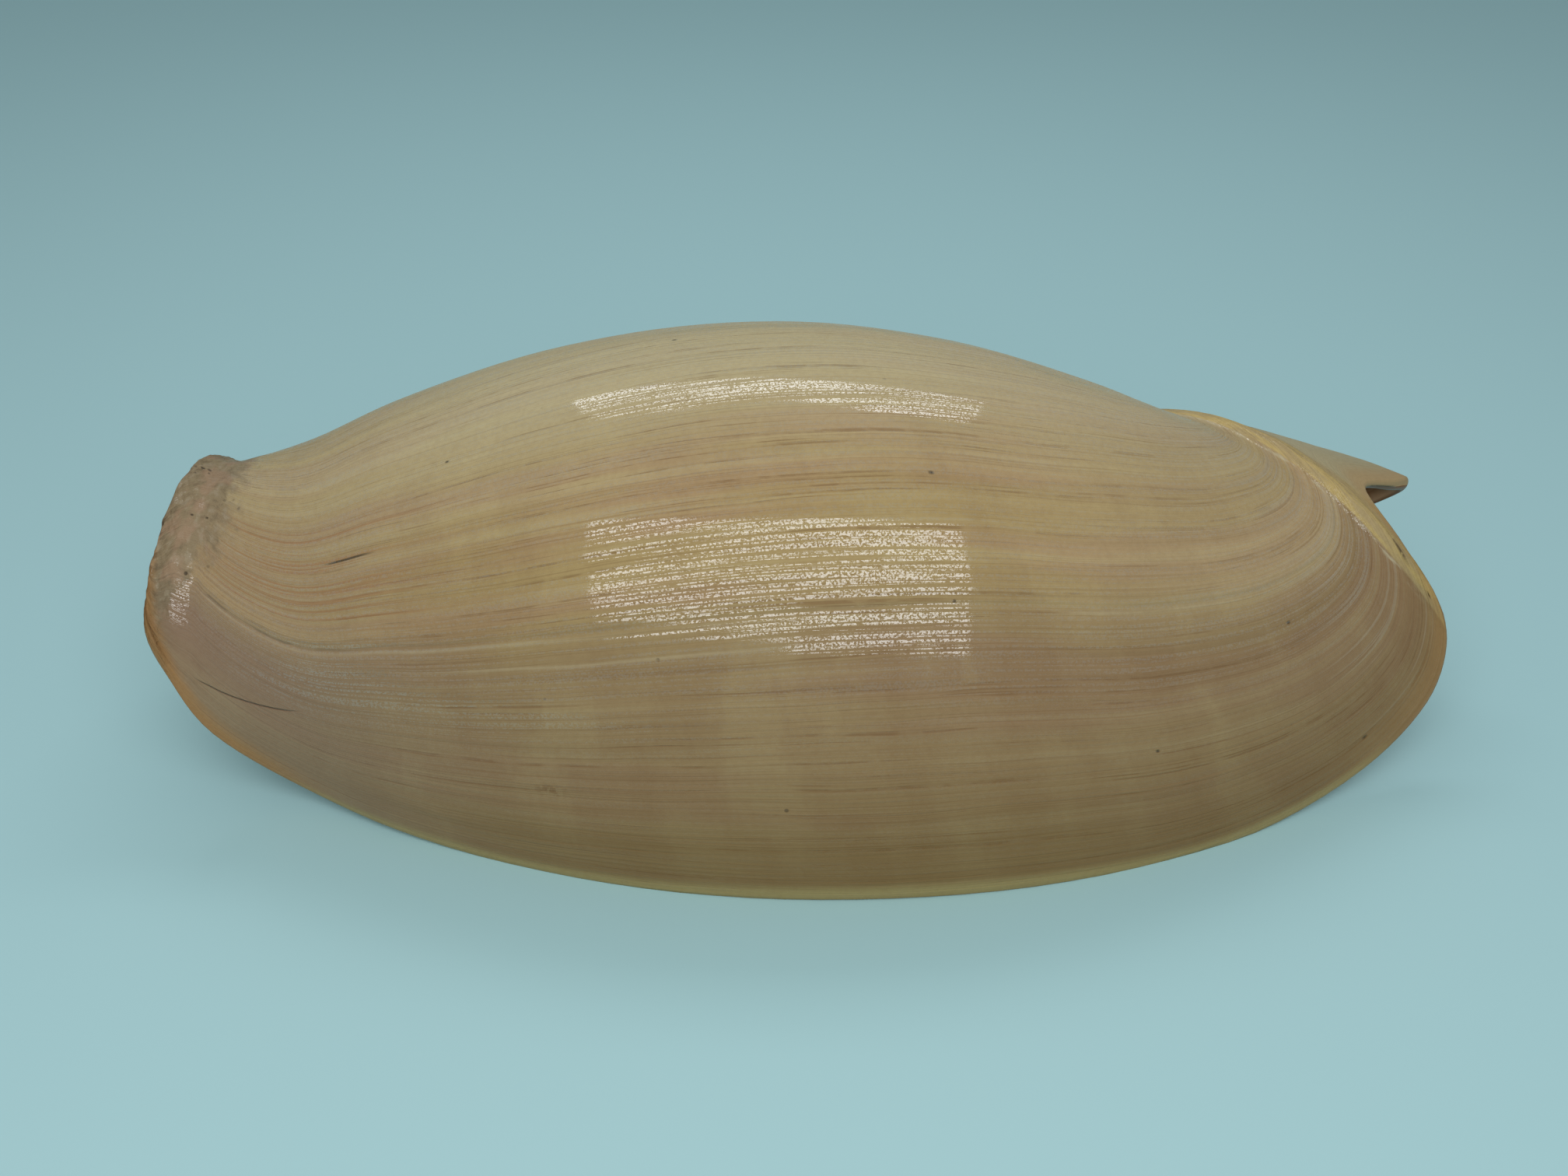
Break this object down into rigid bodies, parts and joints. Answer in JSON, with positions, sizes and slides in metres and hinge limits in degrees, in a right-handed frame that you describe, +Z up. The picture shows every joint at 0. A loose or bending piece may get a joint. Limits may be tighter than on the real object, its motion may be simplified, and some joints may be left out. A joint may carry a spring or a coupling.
{
  "type": "volute shell",
  "caption": "Large elongated volute shell lying on its aperture, with a sunken spire, a flared outer lip and a siphonal notch.",
  "frame": {"origin": "centre of the bounding box at the surface that the shell lies on", "axes": "+X along the shell from the spire to the siphonal notch, -Y towards the outer lip, +Z up"},
  "size_m": [0.2804, 0.1258, 0.0914],
  "materials": {
    "shell": "semi-gloss"
  },
  "bodies": {
    "root": {"shell": "shell"}
  },
  "joints": []
}
